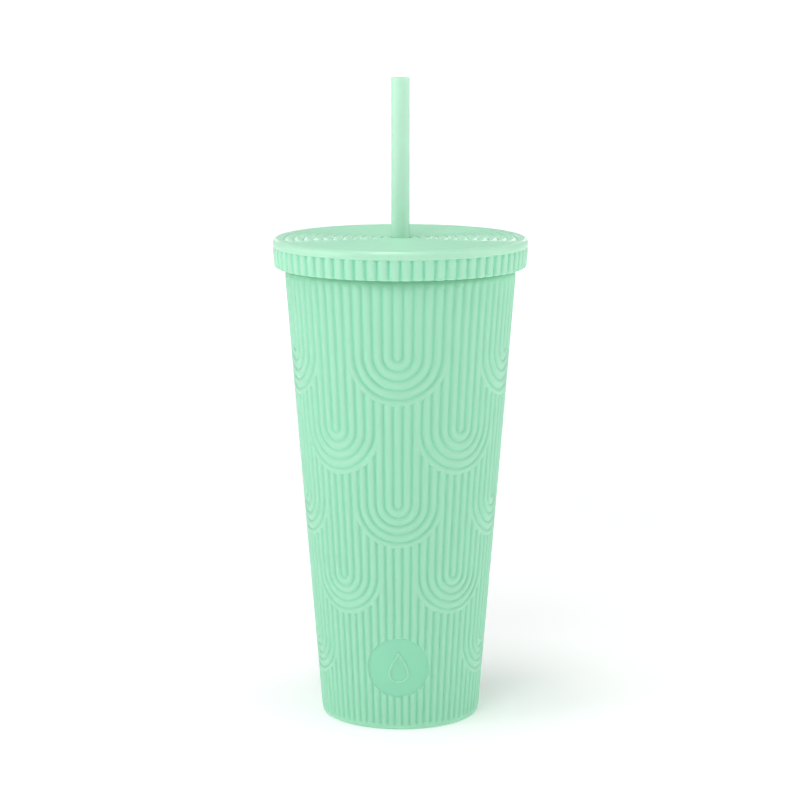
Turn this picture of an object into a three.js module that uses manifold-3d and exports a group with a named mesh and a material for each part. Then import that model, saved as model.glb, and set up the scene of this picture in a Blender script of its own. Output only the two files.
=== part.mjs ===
// Double-wall tumbler with a fluted screw lid and a straight straw.
// Millimetres, +Z up. The origin is under the middle of the foot, on the surface it stands on.
// The front of the cup faces -Y. Angles are measured from the front, towards +X.

import * as THREE from 'three';
import { mergeVertices } from 'three/addons/utils/BufferGeometryUtils.js';
import Module from 'manifold-3d';

const wasm = await Module();
wasm.setup();

// ---- Driving dimensions ----

const GAP = 0.3; // left between pieces that touch or are welded
const BITE = 0.3; // how far a ridge is sunk into the wall it stands on
const OVERSHOOT = 1; // how far a cutting shape runs past what it cuts

// Ribs round the cup, and as many flutes round the lid
const RIB_COUNT = 70;
const RIB_DEPTH = 0.8;
const RIB_TURN = THREE.MathUtils.degToRad(-1.25); // the front rib stands just left of the front

// Cup: a cone over the crests of the ribs
const CUP_BASE_RADIUS = 32.0;
const CUP_TOP_RADIUS = 46.5;
const CUP_TOP_Z = 183.0;
const SHELL_WALL = 1.7; // behind the grooves
const GROOVE_BOTTOM_Z = 3.2; // the grooves run out from here down to the smooth band

// Round badge field, sunk to the grooves low on the front
const BADGE_RADIUS = 12.3;
const BADGE_Z = 26.3;

// Foot: a smooth band with a rounded lower edge, and the cap welded inside it
const BAND_TOP_Z = 1.9;
const BAND_INSET = 0.2; // inside the crests of the ribs
const FOOT_CORNER = 1.7;
const FOOT_BORE = 28.2;
const FOOT_BORE_TOP_Z = 4.0;
const FOOT_CONE_TOP_Z = 6.0;
const CAP_RECESS = 1.2;
const CAP_THICKNESS = 2.2;
const CAP_CHAMFER = 0.6;

// Liner: its body, shoulder, neck and mouth
const AIR_GAP = 1.6;
const LINER_WALL = 1.8;
const LINER_BOTTOM_Z = 6.0;
const LINER_FLOOR_Z = 8.0;
const LINER_CORNER = 4.0;
const SHOULDER_BOTTOM_Z = 171.0;
const SHOULDER_TOP_Z = 176.0;
const NECK_RADIUS = 43.6;
const MOUTH_RADIUS = 41.8;
const LIP_Z = 189.0;

// Screw thread: one short ridge for each start
const THREAD_STARTS = 4;
const THREAD_LEAD = 12.0;
const THREAD_ARC = THREE.MathUtils.degToRad(60);
const THREAD_DEPTH = 1.2;
const THREAD_ROOT_HEIGHT = 1.1;
const THREAD_CREST_HEIGHT = 0.7;
const NECK_THREAD_Z = 186.0; // middle of a neck ridge at its lower end

// Lid cover
const LID_RADIUS = 51.0;
const LID_TOP_Z = 195.0;
const SKIRT_BOTTOM_Z = 183.3;
const SKIRT_BORE = 47.1;
const SKIRT_DRAFT = 0.4;
const RIM_CORNER = 2.4;
const SKIRT_CORNER = 1.2;
const FLUTE_DEPTH = 0.9;
const FLUTE_TOP_Z = 191.3;
const FLUTE_RUNOUT = 1.0;
const COVER_PLATE = 2.3;
const RING_PITCH = 3.88;
const RING_COUNT = 12; // pitches out to the outermost groove
const RING_FIRST = 2; // pitches out to the innermost groove
const RING_DEPTH = 0.6;
const RIM_FOOT = 0.4; // flat of the outermost groove, below the rim
const STRAW_HOLE_RADIUS = 5.4;

// Inner lid: threaded wall, plug and straw guide
const INNER_PLATE = 1.5;
const INNER_BORE = 45.2;
const INNER_BOTTOM_Z = 183.7;
const PLUG_RADIUS = 41.2;
const PLUG_WALL = 1.6;
const PLUG_BOTTOM_Z = 186.5;
const GUIDE_BORE = 4.0;
const GUIDE_WALL = 2.2;
const GUIDE_BOTTOM_Z = 185.0;
const FUNNEL_BOTTOM_Z = 188.5;
const FUNNEL_RADIUS = 5.2;

// Seal ring
const SEAL_BORE = 41.5;
const SEAL_RADIUS = 44.3;

// Straw and its stop ring
const STRAW_RADIUS = 3.7;
const STRAW_BORE = 3.0;
const STRAW_TOP_Z = 258.2;
const STOP_RADIUS = 5.6;
const STOP_BOTTOM_Z = 26.0;
const STOP_HEIGHT = 4.0;
const STOP_CHAMFER = 0.8;

// Facets in a full turn
const ROUND = 60;
const RING_ROUND = 36;
const SMALL_ROUND = 24;
const BADGE_ROUND = 32;
const CUP_FACETS_PER_RIB = 4;
const LID_FACETS_PER_RIB = 2;
const THREAD_STEPS = 10;
const CORNER_STEPS = 3;

// ---- Sizes worked out from them ----

const TAPER = (CUP_TOP_RADIUS - CUP_BASE_RADIUS) / CUP_TOP_Z;
const RIB_ANGLE = (2 * Math.PI) / RIB_COUNT;
const COVER_UNDERSIDE_Z = LID_TOP_Z - COVER_PLATE;
const INNER_TOP_Z = COVER_UNDERSIDE_Z - GAP;
const INNER_UNDERSIDE_Z = INNER_TOP_Z - INNER_PLATE;
const RING_GROOVE_Z = LID_TOP_Z - RING_DEPTH;

const cupRadius = (z) => CUP_BASE_RADIUS + TAPER * z;
const grooveRadius = (z) => cupRadius(z) - RIB_DEPTH;
const shellBore = (z) => grooveRadius(z) - SHELL_WALL;
const linerRadius = (z) => shellBore(z) - AIR_GAP;
const linerBore = (z) => linerRadius(z) - LINER_WALL;

// ---- Geometry helpers ----

// Points [radius, z] on an arc, from one angle to another in degrees
function arc(centreRadius, centreZ, radius, from, to) {
  const points = [];
  for (let step = 0; step <= CORNER_STEPS; step += 1) {
    const angle = THREE.MathUtils.degToRad(from + ((to - from) * step) / CORNER_STEPS);
    points.push([centreRadius + radius * Math.cos(angle), centreZ + radius * Math.sin(angle)]);
  }
  return points;
}

// Merges shared vertices and drops the triangles that collapse on the axis
function weld(geometry) {
  geometry.deleteAttribute('normal');
  geometry.deleteAttribute('uv');
  const merged = mergeVertices(geometry);
  const corners = merged.index.array;
  const kept = [];
  for (let i = 0; i < corners.length; i += 3) {
    const [a, b, c] = corners.slice(i, i + 3);
    if (a !== b && b !== c && c !== a) {
      kept.push(a, b, c);
    }
  }
  merged.setIndex(kept);
  return merged;
}

// Turns an outline of [radius, z] points about Z. It runs anticlockwise, from axis to axis.
function revolve(outline, segments) {
  const points = outline.map(([radius, z]) => new THREE.Vector2(radius, z));
  const geometry = new THREE.LatheGeometry(points, segments);
  geometry.rotateX(Math.PI / 2);
  return weld(geometry);
}

// The same for an outline that stays off the axis, and so closes on itself
function revolveRing(outline, segments) {
  return revolve([...outline, outline[0]], segments);
}

// Presses round-backed ribs into a wall: a crest at angle 0, and a groove half a rib away
function pressRibs(geometry, depthAt) {
  const position = geometry.attributes.position;
  for (let i = 0; i < position.count; i += 1) {
    const x = position.getX(i);
    const y = position.getY(i);
    const radius = Math.hypot(x, y);
    const phase = Math.atan2(x, -y) / RIB_ANGLE;
    const across = 2 * (phase - Math.round(phase));
    const drop = depthAt(radius, position.getZ(i)) * across * across;
    const scale = radius > 0 ? (radius - drop) / radius : 1;
    position.setXY(i, x * scale, y * scale);
  }
  return geometry;
}

// A bar bent round one thread ridge. Its height differs at its inner and outer radius.
function threadRidge({ inner, outer, innerHeight, outerHeight, z, start }) {
  const geometry = new THREE.BoxGeometry(1, 1, 1, 1, THREAD_STEPS, 1);
  const position = geometry.attributes.position;
  for (let i = 0; i < position.count; i += 1) {
    const outward = position.getX(i) + 0.5;
    const along = position.getY(i) + 0.5;
    const radius = THREE.MathUtils.lerp(inner, outer, outward);
    const height = THREE.MathUtils.lerp(innerHeight, outerHeight, outward);
    const turned = THREAD_ARC * along;
    const rise = (THREAD_LEAD * turned) / (2 * Math.PI);
    const angle = start + turned;
    position.setXYZ(
      i,
      radius * Math.sin(angle),
      -radius * Math.cos(angle),
      z + rise + height * position.getZ(i),
    );
  }
  return weld(geometry);
}

function toSolid(geometry) {
  const vertProperties = new Float32Array(geometry.attributes.position.array);
  const triVerts = new Uint32Array(geometry.index.array);
  return new wasm.Manifold(new wasm.Mesh({ numProp: 3, vertProperties, triVerts }));
}

function toGeometry(solid) {
  const { vertProperties, triVerts } = solid.getMesh();
  const geometry = new THREE.BufferGeometry();
  geometry.setAttribute('position', new THREE.BufferAttribute(vertProperties, 3));
  geometry.setIndex(new THREE.BufferAttribute(triVerts, 1));
  return geometry;
}

// Adds one ridge for each thread start to a wall
function addThread(geometry, ridge) {
  let solid = toSolid(geometry);
  for (let number = 0; number < THREAD_STARTS; number += 1) {
    const start = (2 * Math.PI * number) / THREAD_STARTS;
    solid = solid.add(toSolid(threadRidge({ ...ridge, start })));
  }
  return toGeometry(solid);
}

// ---- Cup ----

// Ribbed outer shell, open at both ends, with its foot and the sunk badge field
function makeOuterShell() {
  const bandRadius = cupRadius(BAND_TOP_Z) - BAND_INSET;
  const outside = revolve(
    [
      [0, 0],
      ...arc(bandRadius - FOOT_CORNER, FOOT_CORNER, FOOT_CORNER, -90, 0),
      [bandRadius, BAND_TOP_Z],
      [cupRadius(GROOVE_BOTTOM_Z), GROOVE_BOTTOM_Z],
      [cupRadius(CUP_TOP_Z), CUP_TOP_Z],
      [0, CUP_TOP_Z],
    ],
    RIB_COUNT * CUP_FACETS_PER_RIB,
  );
  pressRibs(outside, (radius, z) => (z > BAND_TOP_Z + GAP ? RIB_DEPTH : 0));
  outside.rotateZ(RIB_TURN);

  const below = -OVERSHOOT;
  const above = CUP_TOP_Z + OVERSHOOT;
  const bore = revolve(
    [
      [0, below],
      [FOOT_BORE, below],
      [FOOT_BORE, FOOT_BORE_TOP_Z],
      [shellBore(FOOT_CONE_TOP_Z), FOOT_CONE_TOP_Z],
      [shellBore(above), above],
      [0, above],
    ],
    ROUND,
  );
  const backing = revolve(
    [[0, below], [grooveRadius(below), below], [grooveRadius(above), above], [0, above]],
    ROUND,
  );
  const badge = new THREE.CylinderGeometry(BADGE_RADIUS, BADGE_RADIUS, CUP_TOP_RADIUS, BADGE_ROUND);
  badge.translate(0, -CUP_TOP_RADIUS / 2, BADGE_Z);
  badge.rotateZ(RIB_TURN);
  const badgeCut = toSolid(weld(badge)).subtract(toSolid(backing));
  return toGeometry(toSolid(outside).subtract(toSolid(bore)).subtract(badgeCut));
}

// Base cap: a disc with bevelled edges, set up inside the foot
function makeBaseCap() {
  const radius = FOOT_BORE - GAP;
  const top = CAP_RECESS + CAP_THICKNESS;
  return revolve(
    [
      [0, CAP_RECESS],
      [radius - CAP_CHAMFER, CAP_RECESS],
      [radius, CAP_RECESS + CAP_CHAMFER],
      [radius, top - CAP_CHAMFER],
      [radius - CAP_CHAMFER, top],
      [0, top],
    ],
    ROUND,
  );
}

// Liner: the vessel itself, with the shoulder that closes the double wall and the threaded neck
function makeInnerLiner() {
  const outerCorner = linerRadius(LINER_BOTTOM_Z + LINER_CORNER) - LINER_CORNER;
  const boreCorner = linerBore(LINER_FLOOR_Z + LINER_CORNER) - LINER_CORNER;
  const vessel = revolve(
    [
      [0, LINER_BOTTOM_Z],
      ...arc(outerCorner, LINER_BOTTOM_Z + LINER_CORNER, LINER_CORNER, -90, 0),
      [linerRadius(SHOULDER_BOTTOM_Z), SHOULDER_BOTTOM_Z],
      [shellBore(SHOULDER_TOP_Z) - GAP, SHOULDER_TOP_Z],
      [shellBore(CUP_TOP_Z) - GAP, CUP_TOP_Z],
      [NECK_RADIUS, CUP_TOP_Z],
      [NECK_RADIUS, LIP_Z],
      [MOUTH_RADIUS, LIP_Z],
      [MOUTH_RADIUS, SHOULDER_TOP_Z],
      [linerBore(SHOULDER_BOTTOM_Z), SHOULDER_BOTTOM_Z],
      ...arc(boreCorner, LINER_FLOOR_Z + LINER_CORNER, LINER_CORNER, 0, -90),
      [0, LINER_FLOOR_Z],
    ],
    ROUND,
  );
  return addThread(vessel, {
    inner: NECK_RADIUS - BITE,
    outer: NECK_RADIUS + THREAD_DEPTH,
    innerHeight: THREAD_ROOT_HEIGHT,
    outerHeight: THREAD_CREST_HEIGHT,
    z: NECK_THREAD_Z,
  });
}

// ---- Lid ----

// Cover: fluted skirt with a rounded rim, and a top plate with rings and the straw hole
function makeLidCover() {
  const wallRadius = LID_RADIUS - SKIRT_DRAFT;
  const plateRadius = RING_COUNT * RING_PITCH;
  const flangeRadius = plateRadius - RING_PITCH / 2;
  const skirt = revolveRing(
    [
      [SKIRT_BORE, SKIRT_BOTTOM_Z],
      [wallRadius - SKIRT_CORNER, SKIRT_BOTTOM_Z],
      [wallRadius, SKIRT_BOTTOM_Z + SKIRT_CORNER],
      [LID_RADIUS, FLUTE_TOP_Z - FLUTE_RUNOUT],
      [LID_RADIUS, FLUTE_TOP_Z],
      ...arc(LID_RADIUS - RIM_CORNER, LID_TOP_Z - RIM_CORNER, RIM_CORNER, 0, 90),
      [plateRadius + RIM_FOOT, RING_GROOVE_Z],
      [flangeRadius, RING_GROOVE_Z],
      [flangeRadius, COVER_UNDERSIDE_Z],
      [SKIRT_BORE, COVER_UNDERSIDE_Z],
    ],
    RIB_COUNT * LID_FACETS_PER_RIB,
  );
  const middle = (SKIRT_BORE + LID_RADIUS) / 2;
  const fluteEnd = FLUTE_TOP_Z - FLUTE_RUNOUT / 2;
  pressRibs(skirt, (radius, z) => (radius > middle && z < fluteEnd ? FLUTE_DEPTH : 0));
  skirt.rotateZ(RIB_ANGLE / 2);

  const rings = [];
  for (let ring = RING_COUNT; ring >= RING_FIRST; ring -= 1) {
    const groove = ring * RING_PITCH;
    rings.push([groove, RING_GROOVE_Z], [groove - RING_PITCH / 2, LID_TOP_Z]);
  }
  const plate = revolveRing(
    [
      [STRAW_HOLE_RADIUS, COVER_UNDERSIDE_Z],
      [plateRadius, COVER_UNDERSIDE_Z],
      ...rings,
      [STRAW_HOLE_RADIUS, LID_TOP_Z],
    ],
    RING_ROUND,
  );
  return toGeometry(toSolid(skirt).add(toSolid(plate)));
}

// Inner lid: plate, threaded wall, plug and the funnelled guide for the straw
function makeLidInner() {
  const body = revolveRing(
    [
      [GUIDE_BORE, GUIDE_BOTTOM_Z],
      [GUIDE_BORE + GUIDE_WALL, GUIDE_BOTTOM_Z],
      [GUIDE_BORE + GUIDE_WALL, INNER_UNDERSIDE_Z],
      [PLUG_RADIUS - PLUG_WALL, INNER_UNDERSIDE_Z],
      [PLUG_RADIUS - PLUG_WALL, PLUG_BOTTOM_Z],
      [PLUG_RADIUS, PLUG_BOTTOM_Z],
      [PLUG_RADIUS, INNER_UNDERSIDE_Z],
      [INNER_BORE, INNER_UNDERSIDE_Z],
      [INNER_BORE, INNER_BOTTOM_Z],
      [SKIRT_BORE - GAP, INNER_BOTTOM_Z],
      [SKIRT_BORE - GAP, INNER_TOP_Z],
      [FUNNEL_RADIUS, INNER_TOP_Z],
      [GUIDE_BORE, FUNNEL_BOTTOM_Z],
    ],
    ROUND,
  );
  return addThread(body, {
    inner: INNER_BORE - THREAD_DEPTH,
    outer: INNER_BORE + BITE,
    innerHeight: THREAD_CREST_HEIGHT,
    outerHeight: THREAD_ROOT_HEIGHT,
    z: NECK_THREAD_Z - THREAD_ROOT_HEIGHT - GAP,
  });
}

// Silicone ring that the lid presses on the lip
function makeLidSeal() {
  return revolveRing(
    [
      [SEAL_BORE, LIP_Z + GAP],
      [SEAL_RADIUS, LIP_Z + GAP],
      [SEAL_RADIUS, INNER_UNDERSIDE_Z - GAP],
      [SEAL_BORE, INNER_UNDERSIDE_Z - GAP],
    ],
    ROUND,
  );
}

// ---- Straw ----

function makeStraw() {
  const bottom = LINER_FLOOR_Z + GAP;
  return revolveRing(
    [
      [STRAW_BORE, bottom],
      [STRAW_RADIUS, bottom],
      [STRAW_RADIUS, STRAW_TOP_Z],
      [STRAW_BORE, STRAW_TOP_Z],
    ],
    SMALL_ROUND,
  );
}

// Ring that keeps the straw from being pulled out through its guide
function makeStopRing() {
  const bore = STRAW_RADIUS + GAP;
  const top = STOP_BOTTOM_Z + STOP_HEIGHT;
  return revolveRing(
    [
      [bore, STOP_BOTTOM_Z],
      [STOP_RADIUS - STOP_CHAMFER, STOP_BOTTOM_Z],
      [STOP_RADIUS, STOP_BOTTOM_Z + STOP_CHAMFER],
      [STOP_RADIUS, top - STOP_CHAMFER],
      [STOP_RADIUS - STOP_CHAMFER, top],
      [bore, top],
    ],
    SMALL_ROUND,
  );
}

// ---- Assembly ----

const plastic = (color, roughness) => {
  return new THREE.MeshStandardMaterial({ color, roughness, metalness: 0 });
};

const pieces = [
  ['outer_shell', makeOuterShell(), plastic(0xa6e8c8, 0.5)],
  ['base_cap', makeBaseCap(), plastic(0x9fe2c2, 0.5)],
  ['inner_liner', makeInnerLiner(), plastic(0xb6ecd2, 0.4)],
  ['lid_cover', makeLidCover(), plastic(0xb4ebcf, 0.45)],
  ['lid_inner', makeLidInner(), plastic(0xaee8cb, 0.5)],
  ['lid_seal', makeLidSeal(), plastic(0xe6f2ec, 0.7)],
  ['straw_tube', makeStraw(), plastic(0xb8edd3, 0.3)],
  ['straw_stop_ring', makeStopRing(), plastic(0xa9e6c8, 0.5)],
];

const tumbler = new THREE.Group();
for (const [name, geometry, material] of pieces) {
  geometry.computeVertexNormals();
  const mesh = new THREE.Mesh(geometry, material);
  mesh.name = name;
  tumbler.add(mesh);
}

export default tumbler;
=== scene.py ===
"""Looks for the double-wall tumbler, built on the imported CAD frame. Metres, +Z up, front facing -Y.

Angles run from the front, towards +X. Each CAD node is replaced by a finer mesh of the same piece,
made by turning an outline of (radius, height) points about Z. The shell and the lid cover have a
relief pressed into them, and thread ridges and the badge's emblem are set on as parts of their own.
"""

import math

import bpy
import numpy as np
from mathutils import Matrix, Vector


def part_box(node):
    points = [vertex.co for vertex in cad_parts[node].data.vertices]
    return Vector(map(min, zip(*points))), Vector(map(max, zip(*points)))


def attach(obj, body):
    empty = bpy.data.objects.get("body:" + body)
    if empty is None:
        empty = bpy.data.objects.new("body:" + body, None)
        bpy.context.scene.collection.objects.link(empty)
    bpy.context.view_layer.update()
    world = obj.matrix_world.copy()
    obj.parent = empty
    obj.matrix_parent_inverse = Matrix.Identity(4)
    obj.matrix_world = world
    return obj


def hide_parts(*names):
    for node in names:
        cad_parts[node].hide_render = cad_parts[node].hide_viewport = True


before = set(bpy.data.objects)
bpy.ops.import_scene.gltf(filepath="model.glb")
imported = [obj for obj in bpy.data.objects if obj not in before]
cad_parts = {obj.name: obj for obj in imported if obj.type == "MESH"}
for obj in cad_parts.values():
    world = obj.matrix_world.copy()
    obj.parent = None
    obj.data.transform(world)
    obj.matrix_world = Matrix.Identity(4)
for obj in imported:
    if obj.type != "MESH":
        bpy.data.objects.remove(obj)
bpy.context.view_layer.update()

MM = 0.001

# ---- Sizes read from the frame ----

liner_low, liner_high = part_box("inner_liner")
cap_low, cap_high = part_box("base_cap")
cover_low, cover_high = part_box("lid_cover")
inner_low, inner_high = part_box("lid_inner")
seal_low, seal_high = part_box("lid_seal")
straw_low, straw_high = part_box("straw_tube")
stop_low, stop_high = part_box("straw_stop_ring")

CUP_TOP_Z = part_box("outer_shell")[1].z
LID_RADIUS = cover_high.x
LID_TOP_Z = cover_high.z
SKIRT_BOTTOM_Z = cover_low.z
LIP_Z = liner_high.z
LINER_BOTTOM_Z = liner_low.z

# ---- Driving dimensions that the boxes don't give ----
# A name with ROUND in it is how far a corner is cut back along both sides before it is rounded.

GAP = 0.3 * MM  # between neighbouring pieces
SHARP_ROUND = 0.02 * MM
FINE_ROUND = 0.3 * MM
SMALL_ROUND = 0.4 * MM
EDGE_ROUND = 0.6 * MM
BEND_ROUND = 2.0 * MM
ROUND_STEPS = 7
FINE_ROUND_STEPS = 9
TURN_COLUMNS = 360

RIB_COUNT = 70
RIB_ANGLE = 2 * math.pi / RIB_COUNT
RIB_TURN = math.radians(-1.25)
RIB_DEPTH = 0.8 * MM
RIB_POWER = 2.4
RIB_FILLET = 0.14
RIB_SAMPLES = 8

CUP_BASE_RADIUS = 32.0 * MM
CUP_TOP_RADIUS = 46.5 * MM
TAPER = (CUP_TOP_RADIUS - CUP_BASE_RADIUS) / CUP_TOP_Z
SHELL_WALL = 1.7 * MM
BAND_TOP_Z = 1.9 * MM
BAND_INSET = 0.2 * MM
GROOVE_BOTTOM_Z = 3.2 * MM
FOOT_CORNER = 1.7 * MM
FOOT_BORE = 28.2 * MM
FOOT_BORE_TOP_Z = 4.0 * MM
FOOT_CONE_TOP_Z = 6.0 * MM
FOOT_BORE_ROUND = 0.5 * MM
FOOT_JOIN_Z = 1.0 * MM
BASE_CHAMFER = 0.6 * MM
BASE_COLUMNS = 240

# Rows on the outer wall, from the band up: short steps where the badge and the arches are
RUN_OUT_TOP_Z = 4.2 * MM
RUN_OUT_ROWS = 8
LOW_RIBS_TOP_Z = 13.0 * MM
LOW_RIBS_ROWS = 6
BADGE_ROWS_TOP_Z = 40.0 * MM
BADGE_ROWS = 96
ARCH_ROWS_TOP_Z = 154.4 * MM
ARCH_ZONE_ROWS = 270
TOP_MARGIN = 0.6 * MM
TOP_ROWS = 8

# Nested arches: five rows, each row half a column round from the last
ARCH_ROWS = 5
ARCH_COLUMN_RIBS = 14
ARCH_TOP_Z = 153.4 * MM
ARCH_SPACING = 29.8 * MM
ARCH_RINGS = 5
ARCH_EDGE = 0.32  # rounding round the outer ring, in rib pitches
ARCH_EASE = 0.3  # how much shallower the rings are where they run level

BADGE_RADIUS = 12.3 * MM
BADGE_Z = 26.3 * MM
BADGE_WALL = 0.55 * MM
BADGE_PULL = 1.2 * MM
BADGE_CROWDING = 1.8
BADGE_PAINTED_SHADE = 0.85  # share of the grooves' painted shade that the sunk badge has

# Steps along the wall and up it, over which its slope is taken
NORMAL_TURN = 0.03 * RIB_ANGLE
NORMAL_RISE = 0.1 * MM

DROP_WIDTH = 8.4 * MM
DROP_HEIGHT = 12.0 * MM
DROP_POINT = 1.5
DROP_WIDEST = 0.77  # the largest value of sin(t) sin(t / 2)^DROP_POINT
DROP_STEPS = 160
BEAD_WIDTH = 0.9 * MM
BEAD_HEIGHT = 0.5 * MM
BEAD_SIDES = 12

AIR_GAP = 1.6 * MM
LINER_WALL = 1.8 * MM
LINER_FLOOR_Z = 8.0 * MM
LINER_CORNER = 4.0 * MM
SHOULDER_BOTTOM_Z = 171.0 * MM
SHOULDER_TOP_Z = 176.0 * MM
SHOULDER_ROUND = 1.0 * MM
NECK_RADIUS = 43.6 * MM
MOUTH_RADIUS = 41.8 * MM

THREAD_STARTS = 4
THREAD_LEAD = 12.0 * MM
THREAD_ARC = math.radians(60)
THREAD_DEPTH = 1.2 * MM
THREAD_ROOT_HEIGHT = 1.1 * MM
THREAD_CREST_HEIGHT = 0.7 * MM
THREAD_ROUND = 0.3 * MM
THREAD_STEPS = 60
THREAD_FADE = 0.08  # share of the thread's length over which each end runs into the wall
NECK_THREAD_Z = 186.0 * MM

SKIRT_BORE = 47.1 * MM
SKIRT_DRAFT = 0.4 * MM
RIM_CORNER = 2.4 * MM
SKIRT_CORNER = 1.2 * MM
FLUTE_DEPTH = 0.95 * MM
FLUTE_TOP_Z = 191.3 * MM
FLUTE_POWER = 3.0
FLUTE_FILLET = 0.14
FLUTE_SAMPLES = 12
FLUTE_DOME_HEIGHT = 1.3 * MM
FLUTE_DOME_SHARE = 0.34  # how much narrower a groove is at the very top of the flutes
FLUTE_GATE_SHIFT = 0.6  # how far open the flutes' gate is at FLUTE_TOP_Z, before easing
FLUTE_LOW_ROWS = 4
FLUTE_HIGH_ROWS = 20
FLUTE_HIGH = 2.0 * MM
FLUTE_MARGIN = 0.8 * MM
SKIRT_JOIN = 2.0 * MM
VALLEY_HALF_HEIGHT = 0.6 * MM
VALLEY_SHARE = 0.14
SKIRT_PAINTED_SHADE = 0.25  # share of the grooves' painted shade that the skirt's crests have: painted shade on the lid's side
COVER_PLATE = 2.3 * MM
RING_PITCH = 3.88 * MM
RING_COUNT = 12
RING_DEPTH = 1.0 * MM
RING_POWER = 2.0
RING_FILLET = 0.15
RING_SAMPLES = 14
CROWDING = 1.5
RING_EDGE = 1.0 * MM
RING_EDGE_ROUND = 0.5 * MM
RING_FOOT_ROUND = 0.05 * MM
RING_MARGIN = 1.1
HOLE_MARGIN = 0.5 * MM
COVER_FILLET = 0.8 * MM
STRAW_HOLE_RADIUS = 5.4 * MM
DISH_RADIUS = 4.3 * MM
DISH_DEPTH = 1.0 * MM

SEAL_BORE = 41.5 * MM
SEAL_COLUMNS = 300

INNER_PLATE = 1.5 * MM
INNER_BORE = 45.2 * MM
PLUG_RADIUS = 41.2 * MM
PLUG_WALL = 1.6 * MM
SEAL_SEAT_ROUND = 0.2 * MM
PLUG_BOTTOM_Z = 186.5 * MM
GUIDE_BORE = 4.0 * MM
GUIDE_WALL = 2.2 * MM
GUIDE_BOTTOM_Z = 185.0 * MM
FUNNEL_BOTTOM_Z = 188.5 * MM
FUNNEL_RADIUS = 5.2 * MM

STRAW_BORE = 3.0 * MM
STRAW_ROUND = 0.25 * MM
STRAW_COLUMNS = 72


def cup_radius(z):
    return CUP_BASE_RADIUS + TAPER * z


def groove_radius(z):
    return cup_radius(z) - RIB_DEPTH


def shell_bore(z):
    return groove_radius(z) - SHELL_WALL


def liner_radius(z):
    return shell_bore(z) - AIR_GAP


def liner_bore(z):
    return liner_radius(z) - LINER_WALL


# ---- Mesh helpers ----


def rounded(corners, closed=False, steps=5):
    """Points of an outline of (radius, z, cut) corners, rounded from cut before to cut after."""
    points = []
    count = len(corners)
    for i, (radius, z, cut) in enumerate(corners):
        corner = np.array([radius, z])
        if cut == 0 or (not closed and i in (0, count - 1)):
            points.append(corner)
            continue
        before = np.array(corners[i - 1][:2]) - corner
        after = np.array(corners[(i + 1) % count][:2]) - corner
        start = corner + before / np.linalg.norm(before) * cut
        end = corner + after / np.linalg.norm(after) * cut
        for s in np.linspace(0, 1, steps):
            points.append((1 - s) ** 2 * start + 2 * s * (1 - s) * corner + s**2 * end)
    return np.array(points)


def stretch(start, end, count):
    """Points spread evenly from start up to, but not including, end."""
    shares = np.arange(count)[:, None] / count
    return np.array(start) * (1 - shares) + np.array(end) * shares


def crowd(share):
    """Moves even samples, from a crest at 0 to grooves at -1 and 1, closer to the grooves."""
    return np.sign(share) * (1 - (1 - np.abs(share)) ** CROWDING)


def turned(outline, columns, turn=0.0):
    """Angle, radius and height of each point of an outline turned about Z, as three grids."""
    angles = turn + np.arange(columns) * 2 * math.pi / columns
    shape = (len(outline), columns)
    angle = np.broadcast_to(angles, shape).copy()
    radius = np.broadcast_to(outline[:, :1], shape).copy()
    height = np.broadcast_to(outline[:, 1:], shape).copy()
    return angle, radius, height


def to_points(angle, radius, height):
    return np.stack([radius * np.sin(angle), -radius * np.cos(angle), height], axis=-1)


def grid_faces(rows, columns, closed):
    """Quads between neighbouring rows of a turned grid, as vertex numbers."""
    low = np.arange(rows if closed else rows - 1)
    high = (low + 1) % rows
    left = np.arange(columns)
    right = (left + 1) % columns
    corners = [(low, left), (low, right), (high, right), (high, left)]
    return np.stack([np.add.outer(row * columns, column).ravel() for row, column in corners], axis=1)


def fold_quads(quads, flat_depth):
    """Cuts each quad along the diagonal with the deeper ends, so that grooves stay whole."""
    one = flat_depth[quads[:, 0]] + flat_depth[quads[:, 2]]
    other = flat_depth[quads[:, 1]] + flat_depth[quads[:, 3]]
    along = (one >= other)[:, None]
    first = np.where(along, quads[:, [0, 1, 2]], quads[:, [0, 1, 3]])
    second = np.where(along, quads[:, [0, 2, 3]], quads[:, [1, 2, 3]])
    return np.concatenate([first, second])


def fill_mesh(mesh, points, faces):
    """Writes points and faces of one size into an empty mesh."""
    size = faces.shape[1]
    mesh.vertices.add(len(points))
    mesh.vertices.foreach_set("co", points.astype(np.float32).ravel())
    mesh.loops.add(faces.size)
    mesh.loops.foreach_set("vertex_index", faces.astype(np.int32).ravel())
    mesh.polygons.add(len(faces))
    mesh.polygons.foreach_set("loop_start", np.arange(0, faces.size, size, dtype=np.int32))
    mesh.polygons.foreach_set("use_smooth", np.ones(len(faces), dtype=bool))
    mesh.update(calc_edges=True)
    mesh.validate()


def add_object(name, parts):
    """One object from a list of (points, faces) parts. Quads are cut in two where parts differ."""
    points = np.concatenate([part[0] for part in parts])
    starts = np.cumsum([0] + [len(part[0]) for part in parts[:-1]])
    triangles = []
    for (_, faces), start in zip(parts, starts):
        if faces.shape[1] == 4:
            faces = np.concatenate([faces[:, [0, 1, 2]], faces[:, [0, 2, 3]]])
        triangles.append(faces + start)
    mesh = bpy.data.meshes.new(name)
    fill_mesh(mesh, points, np.concatenate(triangles))
    piece = bpy.data.objects.new(name, mesh)
    bpy.context.scene.collection.objects.link(piece)
    return piece


def set_normals(piece, normals):
    """Sets normals on a piece's first vertices. A zero keeps the mesh's own normal."""
    every = np.zeros((len(piece.data.vertices), 3))
    every[: len(normals)] = normals
    piece.data.normals_split_custom_set_from_vertices(every.tolist())


def set_painted_shade(piece, depth):
    """Keeps the depth of the relief on a piece's first vertices: the share of painted shade that its
    material puts in the grooves and recesses.
    """
    every = np.zeros(len(piece.data.vertices), dtype=np.float32)
    every[: len(depth)] = depth
    layer = piece.data.attributes.new("relief", "FLOAT", "POINT")
    layer.data.foreach_set("value", every)


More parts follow.
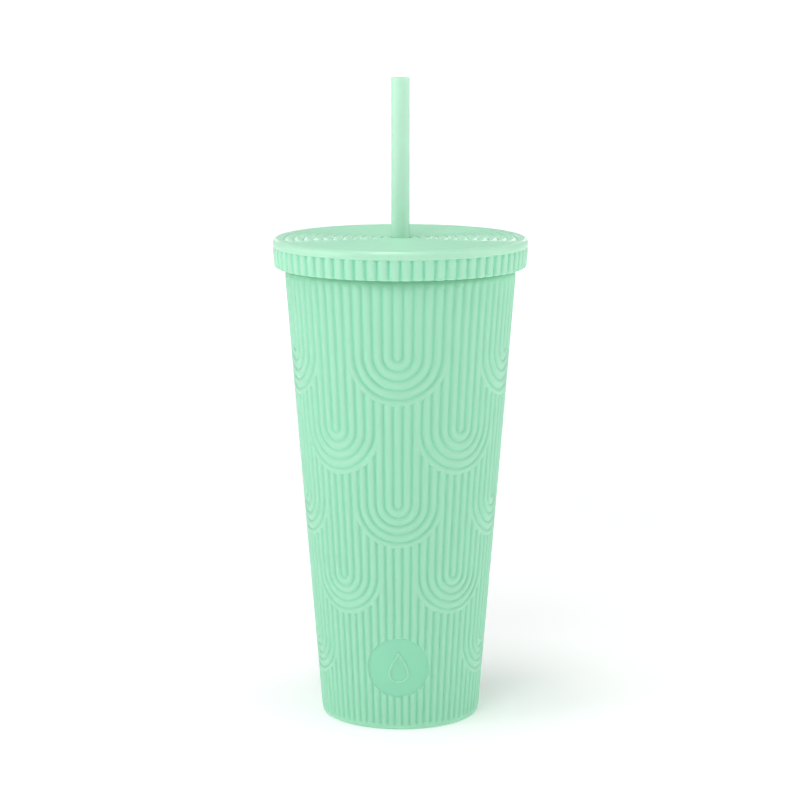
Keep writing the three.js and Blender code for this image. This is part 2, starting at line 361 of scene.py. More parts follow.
def ring_part(outline, columns):
    """A closed outline turned about Z."""
    points = to_points(*turned(outline, columns)).reshape(-1, 3)
    return points, grid_faces(len(outline), columns, closed=True)


def disc_part(outline, columns):
    """An outline from axis to axis turned about Z, with one vertex at each pole."""
    body = to_points(*turned(outline[1:-1], columns)).reshape(-1, 3)
    rows = len(outline) - 2
    quads = grid_faces(rows, columns, closed=False)
    faces = np.concatenate([quads[:, [0, 1, 2]], quads[:, [0, 2, 3]]])
    left = np.arange(columns)
    right = (left + 1) % columns
    bottom = len(body)
    top = bottom + 1
    last = (rows - 1) * columns
    lower = np.stack([right, left, np.full(columns, bottom)], axis=1)
    upper = np.stack([last + left, last + right, np.full(columns, top)], axis=1)
    poles = np.array([[0, 0, outline[0][1]], [0, 0, outline[-1][1]]])
    return np.concatenate([body, poles]), np.concatenate([faces, lower, upper])


def thread_parts(inner, outer, inner_height, outer_height, z):
    """Rounded ridges of the screw thread, one for each start, with ends that run into the wall."""
    wall, crest = (inner, outer) if inner_height > outer_height else (outer, inner)
    root_height = max(inner_height, outer_height)
    crest_height = min(inner_height, outer_height)
    section = rounded(
        [
            (0, -root_height / 2, 0),
            (1, -crest_height / 2, THREAD_ROUND),
            (1, crest_height / 2, THREAD_ROUND),
            (0, root_height / 2, 0),
        ],
        steps=4,
    )
    parts = []
    for start in range(THREAD_STARTS):
        along = np.linspace(0, 1, THREAD_STEPS)
        fade = np.sqrt(np.clip(np.minimum(along, 1 - along) / THREAD_FADE, 0, 1))
        angle = start * 2 * math.pi / THREAD_STARTS + THREAD_ARC * along
        rise = THREAD_LEAD * THREAD_ARC * along / (2 * math.pi)
        radius = wall + (crest - wall) * section[:, :1] * fade
        height = z + rise + section[:, 1:]
        points = to_points(np.broadcast_to(angle, radius.shape), radius, height).reshape(-1, 3)
        rows = len(section)
        quads = []
        for row in range(rows):
            above = (row + 1) % rows
            for step in range(THREAD_STEPS - 1):
                lower = row * THREAD_STEPS + step
                upper = above * THREAD_STEPS + step
                quads.append([lower, lower + 1, upper + 1, upper])
        parts.append((points, np.array(quads)))
    return parts


# ---- Relief of the shell ----


def crest_to_groove(across, power, fillet):
    """0 on a crest, 1 in the groove beside it, which is rounded over the last share, fillet."""
    across = np.abs(across)
    bend = 1 - fillet
    steep = power * bend ** (power - 1) / 2
    scale = 1 / (bend**power + steep * fillet)
    return np.where(
        across < bend, scale * across**power, 1 - scale * steep / fillet * (1 - across) ** 2
    )


def smooth(share):
    """Eases a share from 0 to 1 in and out."""
    return share * share * (3 - 2 * share)


def rib_relief(across):
    return crest_to_groove(across, RIB_POWER, RIB_FILLET)


def arch_rows():
    """(height of the arches' centres, ribs that the row is shifted by) from the top row down."""
    return [
        (ARCH_TOP_Z - row * ARCH_SPACING, (row % 2) * ARCH_COLUMN_RIBS / 2)
        for row in range(ARCH_ROWS)
    ]


def arch_place(ribs, z, row):
    """Sideways and downward distance from the nearest arch centre of a row, in rib pitches."""
    centre_z, shift = arch_rows()[row]
    half = ARCH_COLUMN_RIBS / 2
    aside = (ribs - shift + half) % ARCH_COLUMN_RIBS - half
    up = (z - centre_z) / (cup_radius(z) * RIB_ANGLE)
    used = up < 0
    if row == ARCH_ROWS - 1:
        used &= np.abs(ribs) > half  # the badge takes this arch's place at the front
    return aside, up, used


def relief(ribs, z):
    """Depth of the shell's relief under the crests, from 0 to 1."""
    depth = rib_relief(2 * (ribs - np.round(ribs)))
    for row in range(ARCH_ROWS):
        aside, up, used = arch_place(ribs, z, row)
        out = np.hypot(aside, up)
        level = (up / np.maximum(out, ARCH_EDGE)) ** 2  # 1 where the ring runs level
        ring = rib_relief(2 * (out - np.round(out))) * (1 - ARCH_EASE * level)
        edge = rib_relief(np.clip((out - ARCH_RINGS) / ARCH_EDGE, 0, 1))
        depth = np.where(used & (out >= ARCH_RINGS), np.minimum(depth, edge), depth)
        depth = np.where(used & (out < ARCH_RINGS), ring, depth)
    return depth


def badge_distance(angle, z):
    """Distance from the middle of the badge, measured on a plane in front of it."""
    aside = cup_radius(z) * np.sin(angle - RIB_TURN)
    away = np.cos(angle - RIB_TURN) < 0
    return np.where(away, CUP_TOP_RADIUS, np.hypot(aside, z - BADGE_Z))


def pull_to_badge(angle, z):
    """Draws grid points near the badge's edge towards it, to give its wall points to stand on."""
    distance = badge_distance(angle, z)
    beyond = distance - BADGE_RADIUS
    near = np.abs(beyond) < BADGE_PULL
    share = np.clip(np.abs(beyond) / BADGE_PULL, 0, 1) ** BADGE_CROWDING
    pulled = BADGE_RADIUS + np.sign(beyond) * BADGE_PULL * share
    scale = np.where(near, pulled / distance, 1.0)
    aside = cup_radius(z) * np.sin(angle - RIB_TURN) * scale
    moved_z = np.where(near, BADGE_Z + (z - BADGE_Z) * scale, z)
    moved = RIB_TURN + np.arcsin(np.clip(aside / cup_radius(moved_z), -1, 1))
    return np.where(near, moved, angle), moved_z


def wall_heights():
    """Heights of the rows on the outer wall: close where the relief needs it."""
    stretches = [
        (BAND_TOP_Z, RUN_OUT_TOP_Z, RUN_OUT_ROWS),
        (RUN_OUT_TOP_Z, LOW_RIBS_TOP_Z, LOW_RIBS_ROWS),
        (LOW_RIBS_TOP_Z, BADGE_ROWS_TOP_Z, BADGE_ROWS),
        (BADGE_ROWS_TOP_Z, ARCH_ROWS_TOP_Z, ARCH_ZONE_ROWS),
        (ARCH_ROWS_TOP_Z, CUP_TOP_Z - TOP_MARGIN, TOP_ROWS),
    ]
    parts = [np.linspace(low, high, count, endpoint=False) for low, high, count in stretches]
    return np.concatenate(parts)


def run_out(z):
    """0 on the band at the foot, 1 where the grooves have their full depth."""
    return np.clip((z - BAND_TOP_Z) / (GROOVE_BOTTOM_Z - BAND_TOP_Z), 0, 1)


def badge_share(angle, z):
    """1 on the badge, 0 round it, between them on its wall."""
    return smooth(np.clip((BADGE_RADIUS - badge_distance(angle, z)) / BADGE_WALL + 0.5, 0, 1))


def wall_depth(angle, z):
    """Depth under the crests, from 0 to 1: the relief and the badge sunk into it."""
    ribs = (angle - RIB_TURN) / RIB_ANGLE
    ribs = (ribs + RIB_COUNT / 2) % RIB_COUNT - RIB_COUNT / 2
    depth = relief(ribs, z) * np.sin(run_out(z) * math.pi / 2)
    return depth + (1 - depth) * badge_share(angle, z)


def wall_points(angle, z):
    radius = cup_radius(z) - BAND_INSET * (1 - run_out(z))
    return to_points(angle, radius - wall_depth(angle, z) * RIB_DEPTH, z)


def wall_normals(angle, z):
    """Unit normals from small steps along the wall and up it."""
    along = wall_points(angle + NORMAL_TURN, z) - wall_points(angle - NORMAL_TURN, z)
    upward = wall_points(angle, z + NORMAL_RISE) - wall_points(angle, z - NORMAL_RISE)
    normal = np.cross(along, upward)
    return normal / np.linalg.norm(normal, axis=-1, keepdims=True)


def emblem_path(count):
    """Outline of a drop, point up, as (aside, up) from the middle of the badge."""
    turn = np.linspace(0, 2 * math.pi, count, endpoint=False)
    aside = DROP_WIDTH / 2 * np.sin(turn) * np.sin(turn / 2) ** DROP_POINT
    up = DROP_HEIGHT / 2 * np.cos(turn)
    return aside / DROP_WIDEST, up


def emblem_part():
    """Thin raised bead along the drop's outline, sunk half way into the badge."""
    aside, up = emblem_path(DROP_STEPS)
    angle = RIB_TURN + np.arcsin(aside / cup_radius(BADGE_Z))
    z = BADGE_Z + up
    centre = to_points(angle, groove_radius(z), z)
    outward = to_points(angle, np.ones_like(angle), np.zeros_like(angle))
    along = np.roll(centre, -1, 0) - np.roll(centre, 1, 0)
    along /= np.linalg.norm(along, axis=1, keepdims=True)
    across = np.cross(along, outward)
    turn = np.arange(BEAD_SIDES)[:, None, None] * 2 * math.pi / BEAD_SIDES
    section = BEAD_WIDTH / 2 * np.cos(turn) * across + BEAD_HEIGHT * np.sin(turn) * outward
    points = (centre + section).reshape(-1, 3)
    return points, grid_faces(BEAD_SIDES, DROP_STEPS, closed=True)


def make_outer_shell():
    columns = RIB_COUNT * RIB_SAMPLES
    foot_corner = cup_radius(BAND_TOP_Z) - BAND_INSET
    foot = rounded(
        [
            (FOOT_BORE, 0, SMALL_ROUND),
            (foot_corner, 0, FOOT_CORNER),
            (foot_corner, BAND_TOP_Z, 0),
            (FOOT_BORE, BAND_TOP_Z, 0),
        ],
        closed=True,
        steps=ROUND_STEPS,
    )[:-2]
    heights = wall_heights()
    wall = np.stack([cup_radius(heights), heights], axis=1)
    top = rounded(
        [
            (cup_radius(CUP_TOP_Z) - RIB_DEPTH / 2, CUP_TOP_Z, 0),
            (cup_radius(CUP_TOP_Z) - RIB_DEPTH, CUP_TOP_Z, 0),
            (shell_bore(CUP_TOP_Z), CUP_TOP_Z, SMALL_ROUND),
            (shell_bore(FOOT_CONE_TOP_Z), FOOT_CONE_TOP_Z, FOOT_BORE_ROUND),
            (FOOT_BORE, FOOT_BORE_TOP_Z, FOOT_BORE_ROUND),
            (FOOT_BORE, FOOT_JOIN_Z, 0),
        ]
    )
    outline = np.concatenate([foot, wall, top])
    angle, radius, height = turned(outline, columns, RIB_TURN)
    points = to_points(angle, radius, height)
    rows = slice(len(foot), len(foot) + len(wall))
    wall_angle, wall_z = pull_to_badge(angle[rows], height[rows])
    points[rows] = wall_points(wall_angle, wall_z)
    normals = np.zeros_like(points)
    normals[rows] = wall_normals(wall_angle, wall_z)
    normals[rows][:2] = 0
    normals[rows][-2:] = 0
    # This depth also sets the painted shade in the grooves, and a slightly lighter painted shade on
    # the sunk badge
    depth = np.zeros_like(radius)
    depth[rows] = wall_depth(wall_angle, wall_z)
    depth[rows] -= badge_share(wall_angle, wall_z) * (1 - BADGE_PAINTED_SHADE)
    quads = grid_faces(len(outline), columns, closed=True)
    wall_part = (points.reshape(-1, 3), fold_quads(quads, depth.ravel()))
    shell = add_object("tumbler_shell", [wall_part, emblem_part()])
    set_normals(shell, normals.reshape(-1, 3))
    set_painted_shade(shell, depth.ravel())
    return shell


def make_base_cap():
    radius = cap_high.x
    outline = rounded(
        [
            (0, cap_low.z, 0),
            (radius - BASE_CHAMFER, cap_low.z, FINE_ROUND),
            (radius, cap_low.z + BASE_CHAMFER, FINE_ROUND),
            (radius, cap_high.z - BASE_CHAMFER, FINE_ROUND),
            (radius - BASE_CHAMFER, cap_high.z, FINE_ROUND),
            (0, cap_high.z, 0),
        ]
    )
    return add_object("tumbler_base_cap", [disc_part(outline, BASE_COLUMNS)])


def make_inner_liner():
    outline = rounded(
        [
            (0, LINER_BOTTOM_Z, 0),
            (liner_radius(LINER_BOTTOM_Z), LINER_BOTTOM_Z, LINER_CORNER),
            (liner_radius(SHOULDER_BOTTOM_Z), SHOULDER_BOTTOM_Z, BEND_ROUND),
            (shell_bore(SHOULDER_TOP_Z) - GAP, SHOULDER_TOP_Z, SHOULDER_ROUND),
            (shell_bore(CUP_TOP_Z) - GAP, CUP_TOP_Z, SHARP_ROUND),
            (NECK_RADIUS, CUP_TOP_Z, SHARP_ROUND),
            (NECK_RADIUS, LIP_Z, EDGE_ROUND),
            (MOUTH_RADIUS, LIP_Z, EDGE_ROUND),
            (MOUTH_RADIUS, SHOULDER_TOP_Z, BEND_ROUND),
            (liner_bore(SHOULDER_BOTTOM_Z), SHOULDER_BOTTOM_Z, BEND_ROUND),
            (liner_bore(LINER_FLOOR_Z), LINER_FLOOR_Z, LINER_CORNER),
            (0, LINER_FLOOR_Z, 0),
        ],
        steps=FINE_ROUND_STEPS,
    )
    ridges = thread_parts(
        NECK_RADIUS - GAP,
        NECK_RADIUS + THREAD_DEPTH,
        THREAD_ROOT_HEIGHT,
        THREAD_CREST_HEIGHT,
        NECK_THREAD_Z,
    )
    return add_object("tumbler_liner", [disc_part(outline, TURN_COLUMNS)] + ridges)


# ---- Lid ----


def flute_gate(z):
    """1 up to the tops of the flutes, then down to 0 on the rim."""
    return smooth(np.clip((FLUTE_TOP_Z - z) / VALLEY_HALF_HEIGHT + FLUTE_GATE_SHIFT, 0, 1))


def flute_depth(angle, z):
    """Depth of the skirt's flutes, from 0 to 1, and of the valley between them and the rim."""
    across = angle / RIB_ANGLE + 0.5
    across = np.abs(2 * (across - np.round(across)))
    below = np.clip((FLUTE_TOP_Z - z) / FLUTE_DOME_HEIGHT, 0, 1)
    width = 1 - FLUTE_DOME_SHARE + FLUTE_DOME_SHARE * np.sqrt(1 - (1 - below) ** 2)
    groove = crest_to_groove(np.clip(across / width, 0, 1), FLUTE_POWER, FLUTE_FILLET)
    valley = np.clip(np.abs(z - FLUTE_TOP_Z) / VALLEY_HALF_HEIGHT, 0, 1)
    return np.maximum(groove * flute_gate(z), VALLEY_SHARE * (1 - smooth(valley)))


def ring_heights():
    """(radius, height) from the rim in to the straw hole, with a crest in each ring."""
    hole = STRAW_HOLE_RADIUS + HOLE_MARGIN
    steps = np.linspace(RING_COUNT - 0.5, hole / RING_PITCH - 0.5, RING_COUNT * RING_SAMPLES)
    middle = np.round(steps)
    across = crowd(2 * (steps - middle))
    drop = RING_DEPTH * crest_to_groove(across, RING_POWER, RING_FILLET)
    return np.stack([(middle + across / 2 + 0.5) * RING_PITCH, LID_TOP_Z - drop], axis=1)


def make_lid_cover():
    wall = LID_RADIUS - SKIRT_DRAFT
    underside = LID_TOP_Z - COVER_PLATE
    columns = RIB_COUNT * FLUTE_SAMPLES
    join_z = SKIRT_BOTTOM_Z + SKIRT_JOIN
    high_z = FLUTE_TOP_Z - FLUTE_HIGH
    rim_z = FLUTE_TOP_Z + FLUTE_MARGIN
    lower = rounded(
        [
            (SKIRT_BORE, SKIRT_BOTTOM_Z, FINE_ROUND),
            (wall, SKIRT_BOTTOM_Z, SKIRT_CORNER),
            (wall, join_z, 0),
            (SKIRT_BORE, join_z, 0),
        ],
        closed=True,
        steps=ROUND_STEPS,
    )[:-2]
    flutes = np.concatenate(
        [
            stretch((wall, join_z), (LID_RADIUS, high_z), FLUTE_LOW_ROWS),
            stretch((LID_RADIUS, high_z), (LID_RADIUS, rim_z), FLUTE_HIGH_ROWS),
        ]
    )
    rim_inner = RING_COUNT * RING_PITCH
    rim = rounded(
        [
            (LID_RADIUS, rim_z, 0),
            (LID_RADIUS, LID_TOP_Z, RIM_CORNER),
            (rim_inner + RING_EDGE, LID_TOP_Z, RING_EDGE_ROUND),
            (rim_inner, LID_TOP_Z - RING_DEPTH, RING_FOOT_ROUND),
        ],
        steps=FINE_ROUND_STEPS,
    )[:-1]
    rings = ring_heights()
    bore = rounded(
        [
            (rings[-1][0], rings[-1][1], 0),
            (STRAW_HOLE_RADIUS, LID_TOP_Z, SMALL_ROUND),
            (DISH_RADIUS, LID_TOP_Z - DISH_DEPTH, FINE_ROUND),
            (DISH_RADIUS, underside, FINE_ROUND),
            (SKIRT_BORE, underside, COVER_FILLET),
            (SKIRT_BORE, SKIRT_BOTTOM_Z + SKIRT_JOIN / 2, 0),
        ]
    )[1:]
    outline = np.concatenate([lower, flutes, rim, rings, bore])
    angle, radius, height = turned(outline, columns)
    flute = np.round(angle / RIB_ANGLE - 0.5) + 0.5
    angle = (flute + crowd(2 * (angle / RIB_ANGLE - flute)) / 2) * RIB_ANGLE
    fluted = (radius > (SKIRT_BORE + LID_RADIUS) / 2) & (height < LID_TOP_Z - RIM_CORNER)
    depth = np.where(fluted, flute_depth(angle, height), 0)
    radius = radius - depth * FLUTE_DEPTH
    on_rings = radius < rim_inner + RING_PITCH / 4
    on_rings &= height > LID_TOP_Z - RING_MARGIN * RING_DEPTH
    depth = np.where(on_rings, np.clip((LID_TOP_Z - height) / RING_DEPTH, 0, 1), depth)
    points = to_points(angle, radius, height).reshape(-1, 3)
    quads = grid_faces(len(outline), columns, closed=True)
    cover = add_object("lid_cover_fluted", [(points, fold_quads(quads, depth.ravel()))])
    # Painted shade: the skirt's crests get part of the grooves' shade, and the flutes and ring
    # hollows darken with their depth
    skirt = np.where(fluted, SKIRT_PAINTED_SHADE * flute_gate(height), 0)
    set_painted_shade(cover, (depth + (1 - depth) * skirt).ravel())
    return cover


def make_lid_inner():
    top = inner_high.z
    underside = top - INNER_PLATE
    outline = rounded(
        [
            (GUIDE_BORE, GUIDE_BOTTOM_Z, SMALL_ROUND),
            (GUIDE_BORE + GUIDE_WALL, GUIDE_BOTTOM_Z, SMALL_ROUND),
            (GUIDE_BORE + GUIDE_WALL, underside, COVER_FILLET),
            (PLUG_RADIUS - PLUG_WALL, underside, COVER_FILLET),
            (PLUG_RADIUS - PLUG_WALL, PLUG_BOTTOM_Z, FINE_ROUND),
            (PLUG_RADIUS, PLUG_BOTTOM_Z, EDGE_ROUND),
            (PLUG_RADIUS, underside, SEAL_SEAT_ROUND),
            (INNER_BORE, underside, SMALL_ROUND),
            (INNER_BORE, inner_low.z, FINE_ROUND),
            (SKIRT_BORE - GAP, inner_low.z, FINE_ROUND),
            (SKIRT_BORE - GAP, top, SMALL_ROUND),
            (FUNNEL_RADIUS, top, FINE_ROUND),
            (GUIDE_BORE, FUNNEL_BOTTOM_Z, COVER_FILLET),
        ],
        closed=True,
    )
    ridges = thread_parts(
        INNER_BORE - THREAD_DEPTH,
        INNER_BORE + GAP,
        THREAD_CREST_HEIGHT,
        THREAD_ROOT_HEIGHT,
        NECK_THREAD_Z - THREAD_ROOT_HEIGHT - GAP,
    )
    return add_object("lid_inner_threaded", [ring_part(outline, TURN_COLUMNS)] + ridges)


def box_ring(name, low, high, bore, cut, columns):
    """A ring with rounded edges that fills a CAD node's box."""
    outline = rounded(
        [(bore, low.z, cut), (high.x, low.z, cut), (high.x, high.z, cut), (bore, high.z, cut)],
        closed=True,
        steps=ROUND_STEPS,
    )
    return add_object(name, [ring_part(outline, columns)])


# ---- Materials ----


def srgb(red, green, blue):
    """Linear colour of an sRGB colour given from 0 to 255."""
    channels = []
    for value in (red, green, blue):
        share = value / 255
        channels.append(share / 12.92 if share <= 0.04045 else ((share + 0.055) / 1.055) ** 2.4)
    return (*channels, 1.0)


DRIFT_SCALE = 28.0
DRIFT_DETAIL = 3.0
GLOSS_SCALE = 90.0
GLOSS_DETAIL = 2.0
GLOSS_SPREAD = 0.05
GRAIN_SCALE = 4200.0
GRAIN_DETAIL = 2.0
GRAIN_HEIGHT = 0.05 * MM
MATT_GRAIN = 0.05
FINE_GRAIN = 0.02
PLASTIC_IOR = 1.49
SOFT_RADIUS = (0.6, 1.0, 0.8)
SOFT_SCALE = 1.5 * MM


def moulded_plastic(name, colour, shade, roughness, groove=None, grain=MATT_GRAIN, soft=0.0):
    """Satin moulded plastic: slight colour drift, a fine spark-eroded grain and uneven gloss.

    Where a groove colour is given, the skin turns to it with the depth of the relief: painted shade
    that darkens the grooves and recesses. soft is the share of light that passes into the plastic.
    """
    material = bpy.data.materials.new(name)
    material.use_nodes = True
    nodes = material.node_tree.nodes
    links = material.node_tree.links
    shader = nodes["Principled BSDF"]
    place = nodes.new("ShaderNodeTexCoord")

    drift = nodes.new("ShaderNodeTexNoise")
    drift.inputs["Scale"].default_value = DRIFT_SCALE
    drift.inputs["Detail"].default_value = DRIFT_DETAIL
    links.new(place.outputs["Object"], drift.inputs["Vector"])
    mix = nodes.new("ShaderNodeMix")
    mix.data_type = "RGBA"
    mix.inputs["A"].default_value = colour
    mix.inputs["B"].default_value = shade
    links.new(drift.outputs["Fac"], mix.inputs["Factor"])
    skin = mix.outputs["Result"]
    # Painted shade: the skin darkens towards the groove colour as the relief deepens
    if groove:
        shade_share = nodes.new("ShaderNodeAttribute")
        shade_share.attribute_name = "relief"
        painted_shade_mix = nodes.new("ShaderNodeMix")
        painted_shade_mix.data_type = "RGBA"
        painted_shade_mix.inputs["B"].default_value = groove
        links.new(skin, painted_shade_mix.inputs["A"])
        links.new(shade_share.outputs["Fac"], painted_shade_mix.inputs["Factor"])
        skin = painted_shade_mix.outputs["Result"]
    links.new(skin, shader.inputs["Base Color"])

    gloss = nodes.new("ShaderNodeTexNoise")
    gloss.inputs["Scale"].default_value = GLOSS_SCALE
    gloss.inputs["Detail"].default_value = GLOSS_DETAIL
    links.new(place.outputs["Object"], gloss.inputs["Vector"])
    spread = nodes.new("ShaderNodeMapRange")
    spread.inputs["To Min"].default_value = roughness - GLOSS_SPREAD
    spread.inputs["To Max"].default_value = roughness + GLOSS_SPREAD
    links.new(gloss.outputs["Fac"], spread.inputs["Value"])
    links.new(spread.outputs["Result"], shader.inputs["Roughness"])

    speckle = nodes.new("ShaderNodeTexNoise")
    speckle.inputs["Scale"].default_value = GRAIN_SCALE
    speckle.inputs["Detail"].default_value = GRAIN_DETAIL
    links.new(place.outputs["Object"], speckle.inputs["Vector"])
    bump = nodes.new("ShaderNodeBump")
    bump.inputs["Strength"].default_value = grain
    bump.inputs["Distance"].default_value = GRAIN_HEIGHT
    links.new(speckle.outputs["Fac"], bump.inputs["Height"])
    links.new(bump.outputs["Normal"], shader.inputs["Normal"])

    shader.inputs["IOR"].default_value = PLASTIC_IOR
    shader.inputs["Subsurface Weight"].default_value = soft
    shader.inputs["Subsurface Radius"].default_value = SOFT_RADIUS
    shader.inputs["Subsurface Scale"].default_value = SOFT_SCALE
    return material


def finish_piece(piece, node, body, material):
    piece.data.materials.append(material)
    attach(piece, body)
    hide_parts(node)


MINT = srgb(168, 230, 197)
MINT_DRIFT = srgb(164, 228, 194)
# Painted shade colours for the grooves, the sunk badge and the lid's skirt
PAINTED_SHADE_MINT = srgb(145, 225, 188)
LID_MINT = srgb(181, 235, 203)
LID_MINT_DRIFT = srgb(178, 233, 201)
PAINTED_SHADE_LID_MINT = srgb(145, 227, 190)
PALE_MINT = srgb(194, 242, 213)
PALE_MINT_DRIFT = srgb(191, 240, 211)
MILK = srgb(226, 240, 233)
MILK_DRIFT = srgb(220, 236, 228)

SHELL_ROUGHNESS = 0.43
LID_ROUGHNESS = 0.31
INNER_LID_ROUGHNESS = 0.4
LINER_ROUGHNESS = 0.35
STRAW_ROUGHNESS = 0.35
STOP_ROUGHNESS = 0.45
SEAL_ROUGHNESS = 0.6
SEAL_SOFT = 0.4
STRAW_SOFT = 0.6

shell_plastic = moulded_plastic("mint_shell", MINT, MINT_DRIFT, SHELL_ROUGHNESS, PAINTED_SHADE_MINT)
base_plastic = moulded_plastic("mint_base", MINT, MINT_DRIFT, SHELL_ROUGHNESS)
lid_plastic = moulded_plastic(
    "mint_lid", LID_MINT, LID_MINT_DRIFT, LID_ROUGHNESS, PAINTED_SHADE_LID_MINT, FINE_GRAIN
)
inner_lid_plastic = moulded_plastic(
    "mint_inner_lid", LID_MINT, LID_MINT_DRIFT, INNER_LID_ROUGHNESS
)
liner_plastic = moulded_plastic(
    "mint_liner", PALE_MINT, PALE_MINT_DRIFT, LINER_ROUGHNESS, grain=FINE_GRAIN
)
seal_silicone = moulded_plastic("milky_silicone", MILK, MILK_DRIFT, SEAL_ROUGHNESS, soft=SEAL_SOFT)
straw_plastic = moulded_plastic(
    "mint_straw", PALE_MINT, PALE_MINT_DRIFT, STRAW_ROUGHNESS, grain=FINE_GRAIN, soft=STRAW_SOFT
)
stop_plastic = moulded_plastic("mint_stop_ring", LID_MINT, LID_MINT_DRIFT, STOP_ROUGHNESS)

# ---- Pieces ----

finish_piece(make_outer_shell(), "outer_shell", "cup", shell_plastic)
finish_piece(make_base_cap(), "base_cap", "cup", base_plastic)
finish_piece(make_inner_liner(), "inner_liner", "cup", liner_plastic)
finish_piece(make_lid_cover(), "lid_cover", "lid", lid_plastic)
finish_piece(make_lid_inner(), "lid_inner", "lid", inner_lid_plastic)
seal = box_ring("lid_seal_ring", seal_low, seal_high, SEAL_BORE, SMALL_ROUND, SEAL_COLUMNS)
finish_piece(seal, "lid_seal", "seal", seal_silicone)
straw = box_ring("drinking_straw", straw_low, straw_high, STRAW_BORE, STRAW_ROUND, STRAW_COLUMNS)
finish_piece(straw, "straw_tube", "straw", straw_plastic)
stop_bore = straw_high.x + GAP
stop = box_ring("straw_stop", stop_low, stop_high, stop_bore, EDGE_ROUND, STRAW_COLUMNS)
finish_piece(stop, "straw_stop_ring", "straw", stop_plastic)

# ---- Stage ----

CAMERA_DISTANCE = 1.0143
CAMERA_HEIGHT = 0.3072
CAMERA_ASIDE = -0.00016
CAMERA_TILT = math.radians(9.98)
SENSOR_WIDTH = 36.0
LENS_TO_WIDTH = 3.1845
VIEW_END = 200.0
SKY_HIGH = (0.54, 0.68, 0.02)
SKY_LOW = (0.0, 0.3, 0.0)
FLOOR_SIZE = 40.0
FLOOR_GREY = 0.92
FLOOR_ROUGHNESS = 0.9
GLOW_START = 0.1
GLOW_END = 1.6
GLOW_NEAR = 0.28
GLOW_FAR = 0.88

CUP_MIDDLE = (0, 0, 0.12)
CUP_LOW = (0, 0, 0.1)
LID_MIDDLE = (0, 0, 0.19)

# (name, place, target, size, watts)
LIGHTS = [
    ("left", (-1.2, -0.5, 0.55), CUP_MIDDLE, 0.8, 5.0),
    ("right", (1.2, -0.5, 0.55), CUP_MIDDLE, 0.8, 2.5),
    ("side_left", (-1.4, 0.15, 0.35), CUP_MIDDLE, 0.7, 1.4),
    ("side_right", (1.4, 0.15, 0.35), CUP_MIDDLE, 0.7, 1.8),
    ("top", (-0.1, -0.1, 1.3), CUP_LOW, 0.55, 6.1),
    ("top_front", (-0.2, -0.7, 1.2), CUP_LOW, 0.5, 3.6),
    ("back_left", (-0.45, 1.6, 0.5), LID_MIDDLE, 0.25, 0.5),
    ("back_right", (0.45, 1.6, 0.5), LID_MIDDLE, 0.25, 0.55),
]


def add_area_light(name, place, target, size, watts):
    lamp = bpy.data.lights.new(name, "AREA")
    lamp.shape = "DISK"
    lamp.size = size
    lamp.energy = watts
    light = bpy.data.objects.new(name, lamp)
    light.location = place
    aim = Vector(target) - Vector(place)
    light.rotation_euler = aim.to_track_quat("-Z", "Y").to_euler()
    bpy.context.scene.collection.objects.link(light)


def add_camera():
    data = bpy.data.cameras.new("camera")
    data.sensor_width = SENSOR_WIDTH
    data.lens = SENSOR_WIDTH * LENS_TO_WIDTH
    data.clip_end = VIEW_END
    camera = bpy.data.objects.new("camera", data)
    camera.location = (CAMERA_ASIDE, -CAMERA_DISTANCE, CAMERA_HEIGHT)
    camera.rotation_euler = (math.pi / 2 - CAMERA_TILT, 0, 0)
    bpy.context.scene.collection.objects.link(camera)
    bpy.context.scene.camera = camera


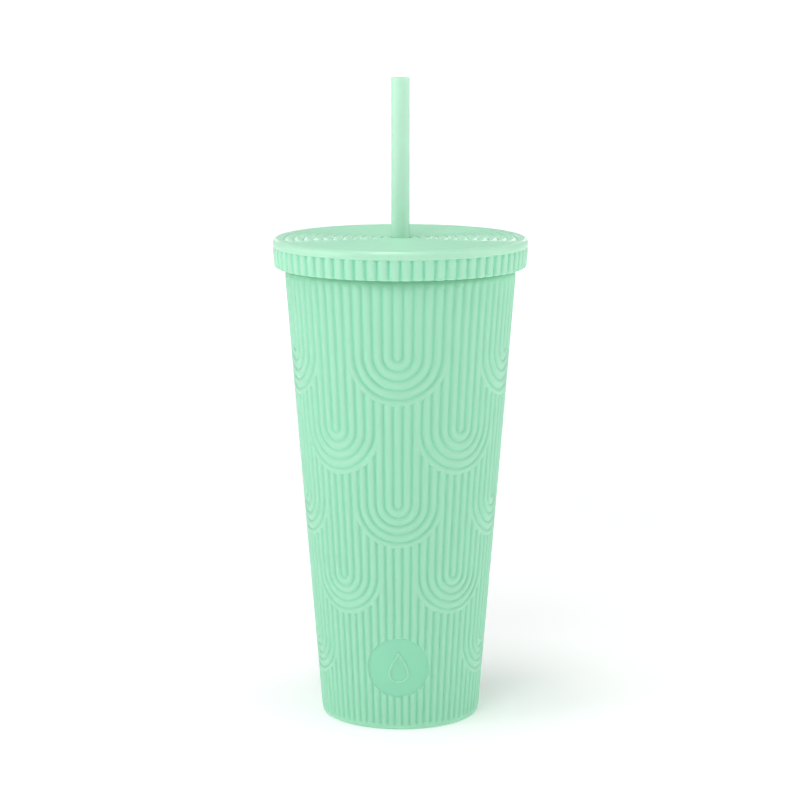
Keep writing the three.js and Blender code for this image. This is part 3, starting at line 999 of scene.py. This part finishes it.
def add_floor():
    """White floor whose glow grows away from the cup, so that it fades into white all round."""
    size = FLOOR_SIZE
    mesh = bpy.data.meshes.new("floor")
    corners = [(-size, -size, 0), (size, -size, 0), (size, size, 0), (-size, size, 0)]
    mesh.from_pydata(corners, [], [(0, 1, 2, 3)])
    floor = bpy.data.objects.new("floor", mesh)
    bpy.context.scene.collection.objects.link(floor)
    material = bpy.data.materials.new("white_floor")
    material.use_nodes = True
    nodes = material.node_tree.nodes
    links = material.node_tree.links
    shader = nodes["Principled BSDF"]
    shader.inputs["Base Color"].default_value = (FLOOR_GREY, FLOOR_GREY, FLOOR_GREY, 1)
    shader.inputs["Roughness"].default_value = FLOOR_ROUGHNESS
    shader.inputs["Emission Color"].default_value = (1, 1, 1, 1)
    place = nodes.new("ShaderNodeTexCoord")
    away = nodes.new("ShaderNodeVectorMath")
    away.operation = "LENGTH"
    glow = nodes.new("ShaderNodeMapRange")
    glow.interpolation_type = "SMOOTHSTEP"
    glow.inputs["From Min"].default_value = GLOW_START
    glow.inputs["From Max"].default_value = GLOW_END
    glow.inputs["To Min"].default_value = GLOW_NEAR
    glow.inputs["To Max"].default_value = GLOW_FAR
    links.new(place.outputs["Object"], away.inputs[0])
    links.new(away.outputs["Value"], glow.inputs["Value"])
    links.new(glow.outputs["Result"], shader.inputs["Emission Strength"])
    mesh.materials.append(material)


def add_world():
    """Soft light from all round: one strength towards each of +X, +Y, +Z and -X, -Y, -Z."""
    world = bpy.data.worlds.new("studio")
    world.use_nodes = True
    nodes = world.node_tree.nodes
    links = world.node_tree.links
    place = nodes.new("ShaderNodeTexCoord")
    sums = []
    for sign, strengths in ((1, SKY_HIGH), (-1, SKY_LOW)):
        side = nodes.new("ShaderNodeVectorMath")
        side.operation = "MULTIPLY"
        side.inputs[1].default_value = (sign, sign, sign)
        links.new(place.outputs["Generated"], side.inputs[0])
        half = nodes.new("ShaderNodeVectorMath")
        half.operation = "MAXIMUM"
        half.inputs[1].default_value = (0, 0, 0)
        links.new(side.outputs["Vector"], half.inputs[0])
        square = nodes.new("ShaderNodeVectorMath")
        square.operation = "MULTIPLY"
        links.new(half.outputs["Vector"], square.inputs[0])
        links.new(half.outputs["Vector"], square.inputs[1])
        weigh = nodes.new("ShaderNodeVectorMath")
        weigh.operation = "DOT_PRODUCT"
        weigh.inputs[1].default_value = strengths
        links.new(square.outputs["Vector"], weigh.inputs[0])
        sums.append(weigh.outputs["Value"])
    total = nodes.new("ShaderNodeMath")
    total.operation = "ADD"
    links.new(sums[0], total.inputs[0])
    links.new(sums[1], total.inputs[1])
    background = nodes["Background"]
    background.inputs["Color"].default_value = (1, 1, 1, 1)
    links.new(total.outputs["Value"], background.inputs["Strength"])
    bpy.context.scene.world = world


add_camera()
add_floor()
add_world()
for light in LIGHTS:
    add_area_light(*light)
bpy.context.scene.view_settings.view_transform = "Standard"
